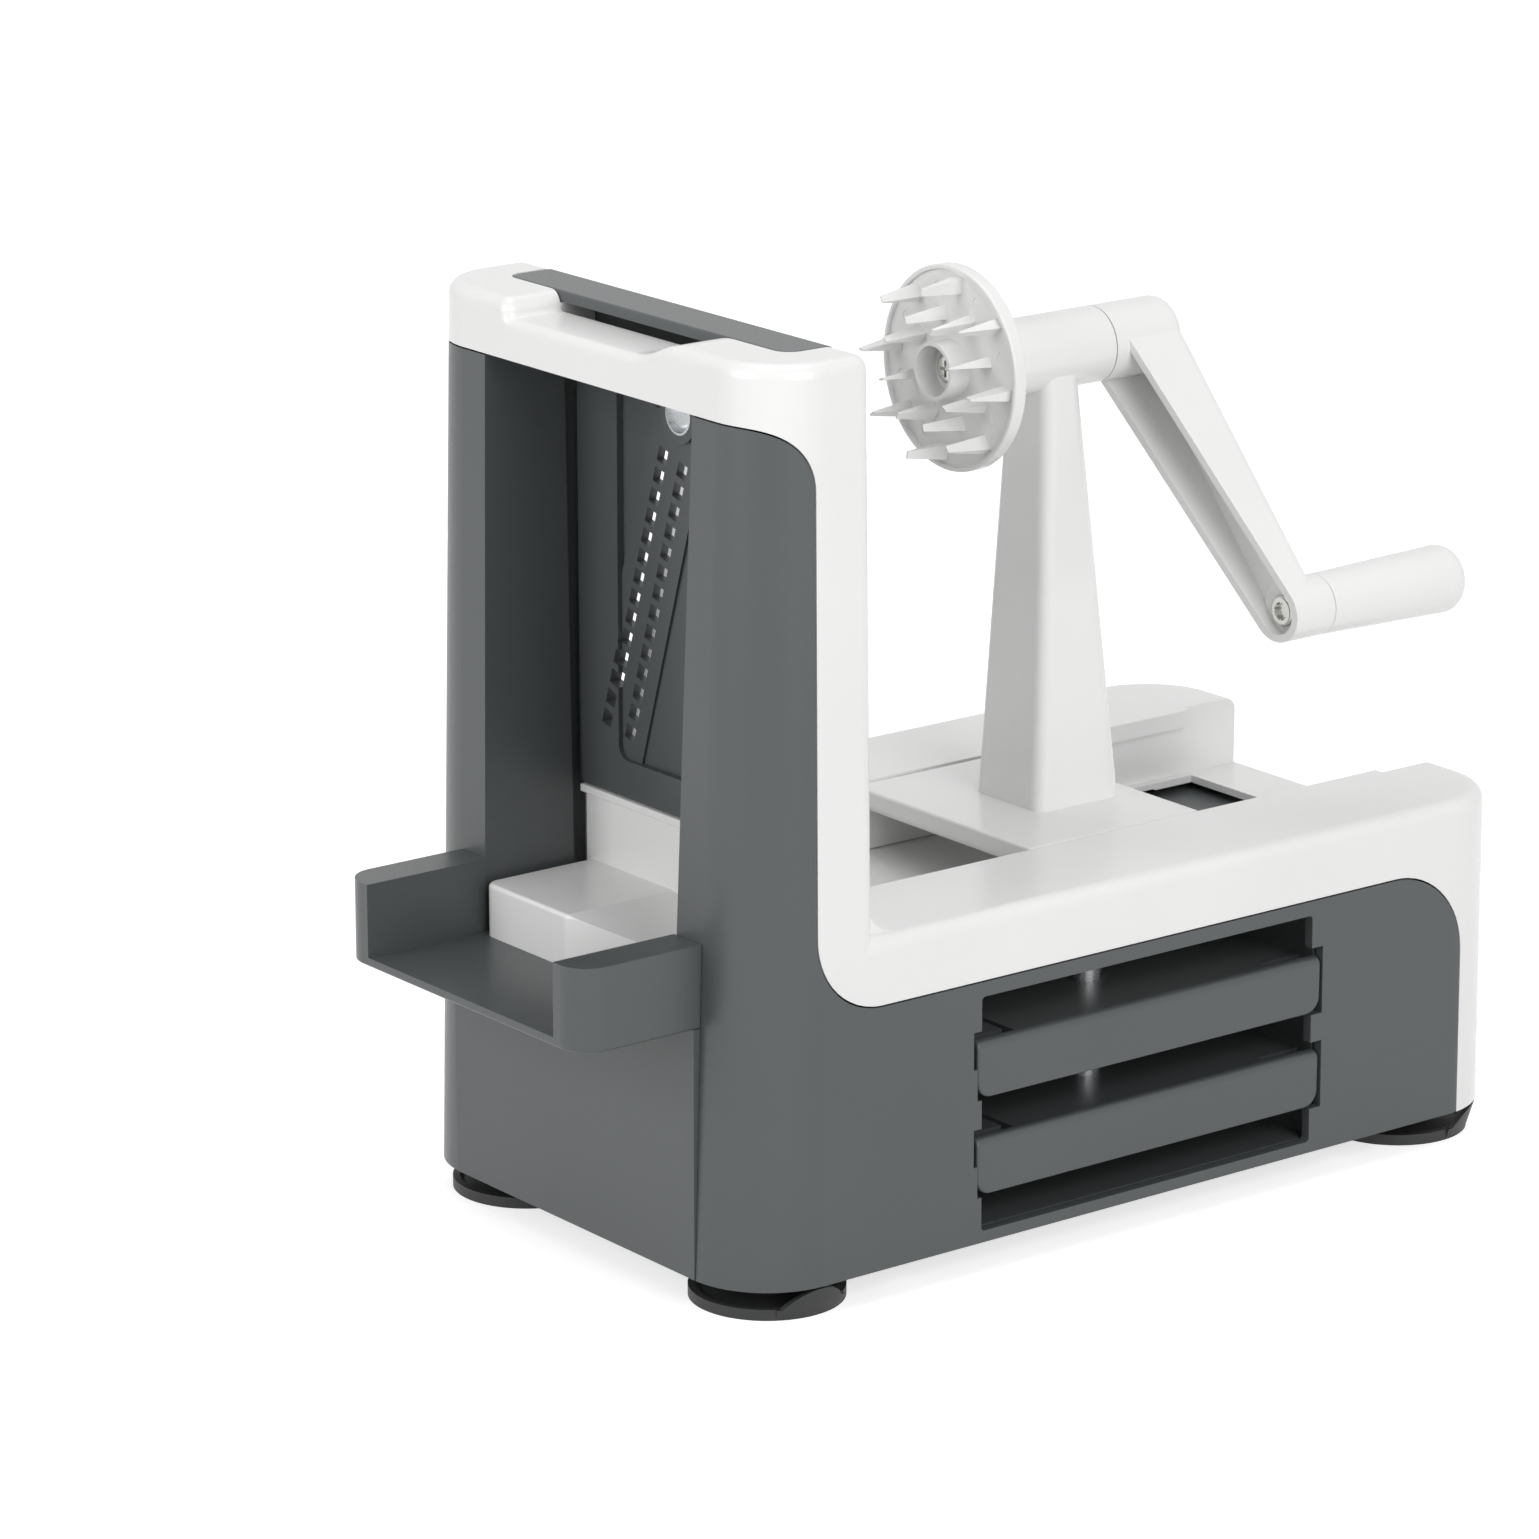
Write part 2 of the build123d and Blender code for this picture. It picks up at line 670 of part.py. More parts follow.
def insert_bay():
    """Grey liner of the storage bay: floor, end wall, side walls and two pairs of ledges."""
    mid = x_at(bay_start + bay_length / 2 + bay_offset)
    x0 = x_at(bay_start)
    x1 = mid + flange_half + insert_gap
    y0 = -half_width + wall + bay_head * side_tan + 2 * insert_gap
    y1 = y0 + bay_depth
    z0 = base_z + plate_thickness
    z1 = deck_z - deck_thickness
    bay = block(x0 - bay_wall, x1 + bay_wall, y0, y1, z0, z1)
    bay -= block(x0, x1, y0 - 1, y1 - bay_wall, z_at(bay_sill), z1 + 1)
    for place in bay_places:
        ledge = z_at(place) - insert_thickness - insert_gap
        for side, rim in ((-1, x0 - bay_wall / 2), (1, x1 + bay_wall / 2)):
            edge = mid + side * (insert_half - 4.0)
            bay += block(min(edge, rim), max(edge, rim), y0 + 6, y1 - bay_wall / 2,
                         ledge - bay_ledge, ledge)
            guide = mid + side * (insert_half + insert_gap)
            bay += block(min(guide, rim), max(guide, rim), y0 + 6, y1 - bay_wall / 2,
                         ledge - bay_ledge, z_at(place) - 1.0)
    return bay


def blade_line():
    """Plane of an upright insert whose Y runs along the radial blade, away from the axis."""
    return Plane(origin=(0, 0, axis_z), x_dir=(0, cos(radians(blade_angle)), sin(radians(blade_angle))),
                 z_dir=(1, 0, 0))


def slit_places(pitch):
    """Distances from the axis of the slits beside the blade."""
    reach = z_at(insert_foot + panel_sill)
    last = (axis_z - reach) / cos(radians(blade_angle)) - 2.0
    count = int((last - core_ring - 4.0) / pitch)
    return [core_ring + 4.0 + pitch * (i + 0.5) for i in range(count)]


def insert_frame(pitch):
    """Plastic frame of an insert: plate with a sunk panel, blade band, slits, ring and flange."""
    face = x_at(insert_face)
    back = face + insert_thickness
    foot = z_at(insert_foot)
    neck = frame_z - flange_thickness
    plate = block(face, back, -insert_half, insert_half, foot, neck + 0.5)
    panel = block(face - 1, back - panel_floor, -panel_side, panel_side, foot + panel_sill,
                  neck - panel_head)
    plate -= fillet(panel.edges().filter_by(Axis.X), panel_round)
    line = blade_line()
    reach = (axis_z - foot - panel_sill) / cos(radians(blade_angle)) + 3.0
    band = Pos(back, 0, 0) * (line * (Pos(0, -reach / 2, -blade_band_depth / 2)
                                      * Box(blade_band, reach, blade_band_depth)))
    band = band & block(face, back, -insert_half + 3, insert_half - 3, foot + 2, axis_z)
    plate = plate + band + rod(core_ring, face, back)
    plate -= rod(core_bore + core_wall, face - 1, back + 1)
    for distance in slit_places(pitch):
        for side in (-1, 1):
            slit = line * (Pos(side * (slit_offset), -distance, 0)
                           * Box(slit_width, pitch * slit_height / slit_pitch, 3 * insert_thickness))
            plate -= Pos(back, 0, 0) * slit
    flange_x0 = back + flange_back - flange_depth
    flange = block(flange_x0, back + flange_back, -flange_half, flange_half, neck, frame_z)
    flange = fillet(flange.edges().filter_by(Axis.Z).sort_by(Axis.X)[:2], flange_corner)
    flange = fillet(flange.faces().sort_by(Axis.Z)[-1].edges().sort_by(Axis.X)[-1], flange_round)
    flange = fillet(flange.faces().sort_by(Axis.Z)[-1].edges().sort_by(Axis.X)[:-1], 0.8)
    return plate + flange


def insert_core_ring():
    """Steel tube in the middle of an insert; its sharp rim stands out of the plate's back."""
    face = x_at(insert_face)
    end = face + insert_thickness + core_stand
    return rod(core_bore + core_wall, face, end) - rod(core_bore, face - 1, end + 1)


def insert_blade():
    """Steel strip along the radial line, let into the back of the band."""
    back = x_at(insert_face) + insert_thickness
    start = core_ring + 1.0
    end = (axis_z - z_at(insert_foot + panel_sill)) / cos(radians(blade_angle)) - 3.0
    strip = blade_line() * (Pos(0, -(start + end) / 2, blade_thickness / 2)
                            * Box(blade_width, end - start, blade_thickness))
    return Pos(back, 0, 0) * strip


def insert_teeth(pitch):
    """Steel comb teeth between the slits, standing out of the back of the band."""
    back = x_at(insert_face) + insert_thickness
    line = blade_line()
    teeth = []
    for distance in slit_places(pitch)[:-1]:
        place = distance + pitch / 2
        outline = make_face(Polyline((0, 0), (slit_width, 0), (slit_width / 2, tooth_height),
                                     close=True))
        tooth = extrude(Plane.XZ * outline, tooth_thickness / 2, both=True)
        spot = Pos(blade_width / 2 + 0.1, -place, 0)
        teeth.append(Pos(back, 0, 0) * (line * (spot * tooth)))
    return Compound(children=teeth)


def stored(piece, place):
    """Lay an upright piece of an insert into one place of the bay, flange outwards."""
    upright_spot = Plane(origin=(x_at(insert_face) + insert_thickness, 0, frame_z))
    mid = x_at(bay_start + bay_length / 2 + bay_offset)
    lying = Plane(origin=(mid, -half_width + bay_recess, z_at(place)),
                  x_dir=(0, 0, 1), z_dir=(0, -1, 0))
    return (lying.location * upright_spot.location.inverse()) * piece


def carriage_plate():
    """White plate that closes the channel between the lips."""
    x0 = x_at(carriage_start)
    top = z_at(carriage_top)
    plate = block(x0, x0 + carriage_length, -carriage_half, carriage_half,
                  top - carriage_plate_thickness, top)
    plate = fillet(plate.faces().sort_by(Axis.Z)[-1].edges(), 0.8)
    for x in tower_screw_places():
        plate -= post(screw_radius + 0.1, top - 20, top + 1, x, 0)
    return plate


def carriage_chassis():
    """Inverted channel under the plate: flanges below the lips, skids on the deck."""
    x0 = x_at(carriage_start + chassis_inset)
    x1 = x_at(carriage_start + carriage_length - chassis_inset)
    under = z_at(carriage_top) - carriage_plate_thickness
    flange_top = lip_z - slide_gap
    low = deck_z + 0.75 * slide_gap
    shell = block(x0, x1, -chassis_half, chassis_half, low, flange_top)
    shell += block(x0, x1, -carriage_half, carriage_half, flange_top - 1, under)
    shell -= block(x0 - 1, x1 + 1, -chassis_half + skid_width, chassis_half - skid_width,
                   low - 1, flange_top - wall)
    for x in tower_screw_places():
        shell -= post(screw_radius + 0.1, low, under + 1, x, 0)
    return shell


def tower_screw_places():
    """Screws that hold the tower on the plate."""
    return (x_at(tower_start + 7.0), x_at(tower_start + tower_length - 7.0))


def tower_body(inset, low_z, top_z):
    """Tapered tower, pulled in by a wall on each side."""
    seat = z_at(carriage_top)
    full = axis_z - seat

    def section(z):
        t = (z - seat) / full
        start = x_at(tower_start + t * (tower_top_start - tower_start)) + inset
        length = tower_length + t * (tower_top_length - tower_length) - 2 * inset
        half = tower_half + t * (tower_top_half - tower_half) - inset
        return plan(start, start + length, half, tower_corner - inset / 2, tower_corner - inset / 2, z)

    return loft([section(low_z), section(top_z)])


def carriage_tower():
    """Hollow white tower with the barrel that carries the crank shaft."""
    seat = z_at(carriage_top)
    tower = tower_body(0.0, seat, axis_z) + rod(barrel_radius, x_at(barrel_start), x_at(barrel_end))
    hollow_top = axis_z - barrel_radius - tower_wall
    tower -= tower_body(tower_wall, seat, hollow_top)
    web = block(x_at(tower_start) + 1.5, x_at(tower_start + tower_length) - 1.5, -1.2, 1.2, seat,
                seat + boss_height)
    web = web & tower_body(1.0, seat, seat + boss_height + 1)
    for x in tower_screw_places():
        web += post(boss_radius, seat, seat + boss_height, x, 0)
    for x in tower_screw_places():
        web -= post(screw_radius, seat - 1, seat + boss_height - 6, x, 0)
    bore = rod(barrel_bore, x_at(barrel_start) - 1, x_at(barrel_end) + 1)
    for start in bush_places():
        bore += rod(bush_radius, start, start + bush_length)
    return tower + web - bore


def bush_places():
    """Front ends of the two bushes in the barrel."""
    return (x_at(barrel_start), x_at(barrel_end) - bush_length)


def bush(start):
    """Plain bush pressed into one end of the barrel."""
    return rod(bush_radius, start, start + bush_length) - rod(shaft_radius + running_gap, start - 1,
                                                              start + bush_length + 1)


def tower_screws():
    """Screws from under the chassis, through the plate, into the tower's bosses."""
    top = z_at(carriage_top)
    low = lip_z - slide_gap - wall
    screws = [post(screw_head_radius, low - 2.0, low, x, 0)
              + post(screw_radius, low, top + boss_height - 8, x, 0) for x in tower_screw_places()]
    return Compound(children=screws)


def shaft_profile(x0, x1, flat=True):
    """Round shaft, with a flat along it where it drives the disc or the crank."""
    bar = rod(shaft_radius, x0, x1)
    if flat:
        bar -= block(x0 - 1, x1 + 1, -shaft_radius, shaft_radius, axis_z + shaft_radius - shaft_flat,
                     axis_z + shaft_radius + 1)
    return bar


def crank_shaft():
    """Steel shaft from the disc to the crank, with the clip's groove."""
    middle = shaft_profile(x_at(barrel_start) - 0.2, x_at(barrel_end) + crank_gap / 2, flat=False)
    front = shaft_profile(x_at(shaft_front), x_at(barrel_start) - 0.2)
    rear = shaft_profile(x_at(barrel_end) + crank_gap / 2, x_at(shaft_end))
    groove = rod(shaft_radius + 1, x_at(clip_place), x_at(clip_place) + clip_thickness) - rod(
        shaft_radius - 0.4, x_at(clip_place) - 1, x_at(clip_place) + clip_thickness + 1)
    tap = rod(disc_screw_radius, x_at(shaft_front) - 1, x_at(shaft_front) + disc_screw_depth)
    return middle + front + rear - groove - tap


def shaft_clip():
    """Clip in the shaft's groove, behind the front bush."""
    x0 = x_at(clip_place)
    ring = rod(clip_radius, x0, x0 + clip_thickness)
    ring -= rod(shaft_radius - 0.4, x0 - 1, x0 + clip_thickness + 1)
    return ring - block(x0 - 1, x0 + 2, -1.6, 1.6, axis_z - clip_radius - 1, axis_z)


def spike(root_radius_out, root, x_root):
    """One spike with a trapezoid outline, on the disc's front at twelve o'clock."""
    low = Pos(0, root_radius_out - root / 2) * Rectangle(spike_thickness, root)
    high = Pos(0, root_radius_out - root / 2 - 0.6) * Rectangle(spike_tip, root * 0.45)
    facing = Plane(origin=(x_root, 0, axis_z), x_dir=(0, 1, 0), z_dir=(-1, 0, 0))
    return loft([facing * (Rot(0, 0, 180) * low), facing * (Pos(0, 0, spike_length)
                                                           * (Rot(0, 0, 180) * high))])


def turned(piece, angle):
    """Turn a piece about the crank axis."""
    return Pos(0, 0, axis_z) * (Rot(angle, 0, 0) * (Pos(0, 0, -axis_z) * piece))


def spiked_disc():
    """White disc with a raised rim, a core ring and moulding marks."""
    front = x_at(disc_start)
    face = front + disc_dish
    disc = rod(disc_radius, front, front + disc_thickness)
    disc = fillet(disc.edges(), 0.6)
    disc -= rod(disc_radius - disc_rim, front - 1, face)
    disc += rod(disc_hub_radius, front + disc_thickness, x_at(barrel_start) - 0.25)
    step = 360.0 / spike_count
    for i in range(spike_count):
        mark = rod(mark_radius, face - 1, face + mark_depth, 0, axis_z + mark_orbit)
        disc -= turned(mark, spike_start_angle + step * (i + 0.5))
    disc += rod(disc_core_radius, face - disc_core_height, face + 1)
    disc -= rod(disc_core_radius - disc_core_wall, face - disc_core_height - 1, face)
    return disc - shaft_profile(face - 1, x_at(barrel_start) + 1)


def disc_spikes():
    """Two rings of spikes that stand out of the disc's face."""
    face = x_at(disc_start) + disc_dish
    step = 360.0 / spike_count
    spikes = []
    for i in range(spike_count):
        angle = spike_start_angle + step * i
        spikes.append(turned(spike(outer_spike_radius, outer_spike_root, face), angle))
        spikes.append(turned(spike(inner_spike_radius, inner_spike_root, face), angle + step / 2))
    return Compound(children=spikes)


def disc_screw():
    """Pan head screw in the middle of the disc, threaded into the shaft."""
    face = x_at(shaft_front)
    head = rod(disc_screw_head, face - disc_screw_head_height, face)
    head = fillet(head.edges().sort_by(Axis.X)[0], 1.2)
    cross = block(face - 3, face - 1.0, -2.4, 2.4, axis_z - 0.5, axis_z + 0.5)
    cross += block(face - 3, face - 1.0, -0.5, 0.5, axis_z - 2.4, axis_z + 2.4)
    return head - cross + rod(disc_screw_radius, face, face + disc_screw_depth - 1.0)


def swung(piece):
    """Swing a piece that is drawn hanging straight down to the crank's rest angle."""
    return turned(piece, crank_angle * -1)


def arm_outline(inset):
    """Outline of the arm seen along the shaft: two circles and their tangents."""
    top = Pos(0, axis_z) * Circle(arm_half_top - inset)
    low = Pos(0, grip_z) * Circle(grip_boss_radius - inset)
    return make_hull(top.edges() + low.edges())


def arm_side(front, front_low, back, back_low):
    """Side view of the arm between two slanting faces, wide enough to cut with."""
    drop = crank_length + 20.0
    slope_front = (front_low - front) / crank_length
    slope_back = (back_low - back) / crank_length
    face = make_face(Polyline(
        (x_at(front - 20 * slope_front), axis_z + 20), (x_at(back - 20 * slope_back), axis_z + 20),
        (x_at(back + drop * slope_back), axis_z - drop),
        (x_at(front + drop * slope_front), axis_z - drop), close=True))
    return upright(face, -20, 20)


def crank_arm():
    """Arm with its shaft hub, recess on the inner side and the grip's boss."""
    slab = Pos(x_at(barrel_end), 0, 0) * extrude(Plane.YZ * arm_outline(0.0), 40.0)
    arm = slab & arm_side(crank_front, crank_front_low, crank_end, crank_end_low)
    back = arm.faces().sort_by(Axis.X)[-1]
    arm = fillet(back.edges(), crank_back_radius)
    hub = rod(barrel_radius, x_at(barrel_end) + crank_gap, x_at(crank_end))
    hub = fillet(hub.edges().sort_by(Axis.X)[-1], crank_back_radius)
    recess = Pos(x_at(barrel_end), 0, 0) * extrude(Plane.YZ * arm_outline(arm_wall), 40.0)
    floor = crank_end - arm_web
    floor_low = crank_end_low - arm_web - 3.0
    recess = recess & arm_side(crank_front - 20, crank_front_low - 20, floor, floor_low)
    recess -= rod(barrel_radius, x_at(barrel_end) - 1, x_at(crank_end) + 1)
    boss = rod(grip_boss_radius, x_at(floor_low) - 0.5, x_at(boss_end), 0, grip_z)
    arm = arm + hub - recess + boss
    arm -= rod(grip_screw_radius, x_at(floor_low) - 8, x_at(boss_end) + 1, 0, grip_z)
    return swung(arm) - shaft_profile(x_at(barrel_end), x_at(shaft_end))


def grip_screw():
    """Steel screw whose head shows in the arm's recess; it holds the grip's axle."""
    seat = x_at(crank_end_low - arm_web - 3.0) - 0.5
    head = rod(grip_screw_head, seat - 2.2, seat, 0, grip_z)
    head = fillet(head.edges().sort_by(Axis.X)[0], 0.9)
    for angle in (0, 45):
        slot = block(seat - 3, seat - 0.9, -2.6, 2.6, grip_z - 0.8, grip_z + 0.8)
        head -= Pos(0, 0, grip_z) * (Rot(angle + 20, 0, 0) * (Pos(0, 0, -grip_z) * slot))
        head -= Pos(0, 0, grip_z) * (Rot(angle + 110, 0, 0) * (Pos(0, 0, -grip_z) * slot))
    shank = rod(grip_screw_radius, seat, x_at(boss_end) + grip_screw_depth - 2.0, 0, grip_z)
    return swung(head + shank)


def grip_axle():
    """Steel sleeve that the grip turns on, with the flange that keeps the grip on it."""
    start = x_at(boss_end)
    end = x_at(grip_axle_end)
    axle = rod(grip_axle_radius, start, end, 0, grip_z)
    axle += rod(axle_flange_radius, end, end + axle_flange_thickness, 0, grip_z)
    return swung(axle - rod(grip_screw_radius, start - 1, start + grip_screw_depth, 0, grip_z))


def crank_grip():
    """White grip, slightly larger at its free end, with its bore."""
    start = x_at(boss_end) + grip_gap
    end = x_at(grip_end)
    side = make_face(Polyline((start, 0), (start, grip_boss_radius), (end, grip_end_radius), (end, 0),
                              close=True))
    grip = revolve(Plane.XY * side, Axis.X)
    grip = fillet(grip.edges().sort_by(Axis.X)[-1], grip_round)
    grip = fillet(grip.edges().sort_by(Axis.X)[0], 0.5)
    grip = Pos(0, 0, grip_z) * grip
    well = x_at(grip_axle_end) - running_gap
    grip -= rod(grip_axle_radius + running_gap, start - 1, well, 0, grip_z)
    grip -= rod(axle_flange_radius + 0.6, well, x_at(grip_end) - grip_round - 2.0, 0, grip_z)
    return swung(grip - rod(cap_radius, x_at(grip_end) - grip_round - 2.0, end + 1, 0, grip_z))


def grip_cap():
    """Round plug that closes the grip's free end."""
    end = x_at(grip_end)
    cap = rod(cap_radius, end - grip_round - 2.0, end, 0, grip_z)
    cap = cap & (Pos(0, 0, grip_z) * revolve(Plane.XY * grip_side(), Axis.X))
    return swung(cap)


def grip_side():
    """Half section of the grip's outside with its rounded end."""
    start = x_at(boss_end) + grip_gap
    end = x_at(grip_end)
    side = make_face(Polyline((start, 0), (start, grip_boss_radius), (end, grip_end_radius), (end, 0),
                              close=True))
    corner = side.vertices().sort_by_distance((end, grip_end_radius, 0))[0]
    return fillet(corner, grip_round)


def whole_body():
    """Hollow body before it is split into its grey and its white part."""
    body = body_blank() - throat() - channel() - insert_slot() - finger_recess() - hollows()
    return body


def save(name, piece):
    """Write one piece under its node's name."""
    export_step(piece, f"parts/{name}.step")
    print(name, round(piece.volume, 1), "mm3")


def main():
    """Build and write every piece."""
    body = whole_body()
    shell = base_shell(body)
    for boss in shell_bosses():
        shell += boss
    save("base_shell", shell)
    save("upper_housing", upper_housing(body))
    save("outlet_tray", outlet_tray())
    save("outlet_chute", outlet_chute())
    save("bottom_plate", bottom_plate())
    save("bottom_screws", bottom_screws())
    names = ("front_right", "front_left", "rear_right", "rear_left")
    for name, (x, y) in zip(names, foot_places()):
        save(f"suction_foot_{name}", suction_foot(x, y))
    save("insert_bay", insert_bay())

    fine = slit_pitch * 0.6
    save("working_insert_frame", insert_frame(slit_pitch))
    save("working_insert_core_ring", insert_core_ring())
    save("working_insert_blade", insert_blade())
    save("working_insert_teeth", insert_teeth(slit_pitch))
    for label, pitch, place in (("upper", slit_pitch, bay_places[1]), ("lower", fine, bay_places[0])):
        save(f"{label}_insert_frame", stored(insert_frame(pitch), place))
        save(f"{label}_insert_core_ring", stored(insert_core_ring(), place))
        save(f"{label}_insert_blade", stored(insert_blade(), place))
        save(f"{label}_insert_teeth", stored(insert_teeth(pitch), place))

    save("carriage_plate", carriage_plate())
    save("carriage_chassis", carriage_chassis())
    save("carriage_tower", carriage_tower())
    save("tower_screws", tower_screws())
    front, rear = bush_places()
    save("front_bush", bush(front))
    save("rear_bush", bush(rear))

    save("crank_shaft", crank_shaft())
    save("shaft_clip", shaft_clip())
    save("spiked_disc", spiked_disc())
    save("disc_spikes", disc_spikes())
    save("disc_screw", disc_screw())
    save("crank_arm", crank_arm())
    save("grip_screw", grip_screw())
    save("grip_axle", grip_axle())
    save("crank_grip", crank_grip())
    save("grip_cap", grip_cap())


main()
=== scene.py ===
"""Looks of the hand cranked spiralizer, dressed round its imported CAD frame.

Every sub-assembly is a class that lists its nodes and gives each one its finish. The frame carries
every piece, so no mesh is added to the object. Lengths are in metres unless a name says
millimetres.
"""
from __future__ import annotations

import logging
import math
from dataclasses import dataclass, field
from enum import Enum
from typing import Any, Iterable, Mapping, Sequence

import bmesh
import bpy
from mathutils import Matrix, Vector


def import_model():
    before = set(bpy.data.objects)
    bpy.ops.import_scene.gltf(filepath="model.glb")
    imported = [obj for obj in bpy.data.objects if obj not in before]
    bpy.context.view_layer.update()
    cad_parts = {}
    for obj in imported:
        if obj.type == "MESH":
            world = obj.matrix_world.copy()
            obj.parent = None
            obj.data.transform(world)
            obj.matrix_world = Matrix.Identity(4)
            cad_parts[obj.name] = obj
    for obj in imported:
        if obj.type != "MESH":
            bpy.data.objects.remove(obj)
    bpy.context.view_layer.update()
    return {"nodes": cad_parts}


LOG = logging.getLogger("spiralizer")
MM = 0.001
WHITE = (1.0, 1.0, 1.0, 1.0)


# ----------------------------------------------------------------------------- small helpers
def srgb(hex_colour: str) -> tuple[float, float, float, float]:
    """Turn an sRGB hex value into the linear colour that a shader socket takes.

    Args:
        hex_colour: Six hex digits, red first.

    Returns:
        Linear red, green, blue and an alpha of one.
    """
    parts = [int(hex_colour[i:i + 2], 16) / 255 for i in (0, 2, 4)]
    linear = [p / 12.92 if p <= 0.04045 else ((p + 0.055) / 1.055) ** 2.4 for p in parts]
    return (linear[0], linear[1], linear[2], 1.0)


def per_metre(size_mm: float) -> float:
    """Scale of a pattern whose repeat has this size in millimetres."""
    return 1000.0 / size_mm


def add_node(tree: bpy.types.NodeTree, kind: str, settings: Mapping[str | int, Any] | None = None,
             links: Mapping[str | int, bpy.types.NodeSocket] | None = None) -> bpy.types.Node:
    """Add a shader node with its settings and its incoming links.

    Args:
        tree: Node tree of the material.
        kind: Blender's name for the node type.
        settings: Socket names or numbers, or attribute names, with their values.
        links: Socket names or numbers, each with the output that feeds it.

    Returns:
        The new node.
    """
    node = tree.nodes.new(kind)
    for key, value in (settings or {}).items():
        if isinstance(key, str) and key not in node.inputs:
            setattr(node, key, value)
        else:
            node.inputs[key].default_value = value
    for key, output in (links or {}).items():
        tree.links.new(output, node.inputs[key])
    return node


class Texture(Enum):
    """How a surface was made, which sets its fine relief."""

    SPARK_ERODED = "spark eroded mould"
    POLISHED = "polished mould"
    SOFT_TOUCH = "soft touch moulding"
    GROUND = "ground strip"
    PLATED = "plated turning"


# Lines left by grinding run along the blade, and rings left by turning run round the axis: the
# pattern is stretched along them.
STRETCH = {Texture.GROUND: (1.0, 0.06, 1.0), Texture.PLATED: (0.05, 1.0, 1.0)}
FLOW_DETAIL, FLOW_ROUGHNESS = 2.0, 0.45     # slow drift of the colour in a moulded wall
GRAIN_DETAIL, GRAIN_ROUGHNESS = 3.0, 0.6    # fine relief of the surface
GRAIN_LOW, GRAIN_HIGH = 0.3, 0.7            # share of the grain that the gloss follows
RELIEF_DEPTH = 0.25                         # depth of the relief over its width
SCATTER_RADIUS, SCATTER_MM = (1.0, 0.9, 0.8), 1.2


# ----------------------------------------------------------------------------- finishes
@dataclass(frozen=True)
class Finish:
    """A material with its real name, its colours and how its surface was made."""

    name: str
    colour: str
    shade: str
    texture: Texture
    roughness: float
    spread: float
    relief_mm: float
    relief: float
    metallic: float = 0.0
    ior: float = 1.5
    subsurface: float = 0.0
    flow_mm: float = 45.0

    def make(self) -> bpy.types.Material:
        """Build the node tree of this finish.

        Returns:
            The material, ready for a mesh.
        """
        material = bpy.data.materials.new(self.name)
        material.use_nodes = True
        tree = material.node_tree
        tree.nodes.clear()
        place = add_node(tree, "ShaderNodeTexCoord").outputs["Object"]
        if self.texture in STRETCH:
            place = add_node(tree, "ShaderNodeMapping", {"Scale": STRETCH[self.texture]},
                             {"Vector": place}).outputs["Vector"]
        flow = add_node(tree, "ShaderNodeTexNoise",
                        {"Scale": per_metre(self.flow_mm), "Detail": FLOW_DETAIL,
                         "Roughness": FLOW_ROUGHNESS}, {"Vector": place})
        grain = add_node(tree, "ShaderNodeTexNoise",
                         {"Scale": per_metre(self.relief_mm), "Detail": GRAIN_DETAIL,
                          "Roughness": GRAIN_ROUGHNESS}, {"Vector": place})
        tone = add_node(tree, "ShaderNodeMix",
                        {"data_type": "RGBA", 6: srgb(self.colour), 7: srgb(self.shade)},
                        {0: flow.outputs["Fac"]})
        gloss = add_node(tree, "ShaderNodeMapRange",
                         {"From Min": GRAIN_LOW, "From Max": GRAIN_HIGH,
                          "To Min": self.roughness - self.spread,
                          "To Max": self.roughness + self.spread},
                         {"Value": grain.outputs["Fac"]})
        bump = add_node(tree, "ShaderNodeBump",
                        {"Strength": self.relief, "Distance": self.relief_mm * MM * RELIEF_DEPTH},
                        {"Height": grain.outputs["Fac"]})
        shader = add_node(tree, "ShaderNodeBsdfPrincipled",
                          {"Metallic": self.metallic, "IOR": self.ior,
                           "Subsurface Weight": self.subsurface,
                           "Subsurface Radius": SCATTER_RADIUS,
                           "Subsurface Scale": SCATTER_MM * MM},
                          {"Base Color": tone.outputs[2], "Roughness": gloss.outputs["Result"],
                           "Normal": bump.outputs["Normal"]})
        add_node(tree, "ShaderNodeOutputMaterial", links={"Surface": shader.outputs["BSDF"]})
        return material


# The real grain of each surface, 0.05 to 0.2 mm, is too fine to show: each relief below is drawn
# several times as coarse.
# ABS in dark grey, injection moulded in a spark eroded tool: an even satin that spreads highlights.
# The shell, the tray, the bay's liner and the inserts are all of it.
GREY_ABS = Finish("moulded_grey_abs", "515556", "4C5051", Texture.SPARK_ERODED,
                  roughness=0.36, spread=0.03, relief_mm=0.9, relief=0.10)
# ABS in white from a polished tool: smooth and bright, and slightly translucent at thin edges.
WHITE_ABS = Finish("moulded_white_abs", "F1F1F0", "ECECEB", Texture.POLISHED,
                   roughness=0.24, spread=0.02, relief_mm=2.5, relief=0.03, subsurface=0.06)
# Moulded rubber: matt and very dark, with a faint bloom where it has been handled.
BLACK_RUBBER = Finish("moulded_black_rubber", "232424", "2C2D2D", Texture.SOFT_TOUCH,
                      roughness=0.55, spread=0.06, relief_mm=0.7, relief=0.22, ior=1.52)
# Martensitic stainless strip, ground along its length: fine bright lines across the edge.
BLADE_STEEL = Finish("ground_blade_steel", "C9CBCC", "B9BCBE", Texture.GROUND,
                     roughness=0.26, spread=0.08, relief_mm=0.5, relief=0.12, metallic=1.0)
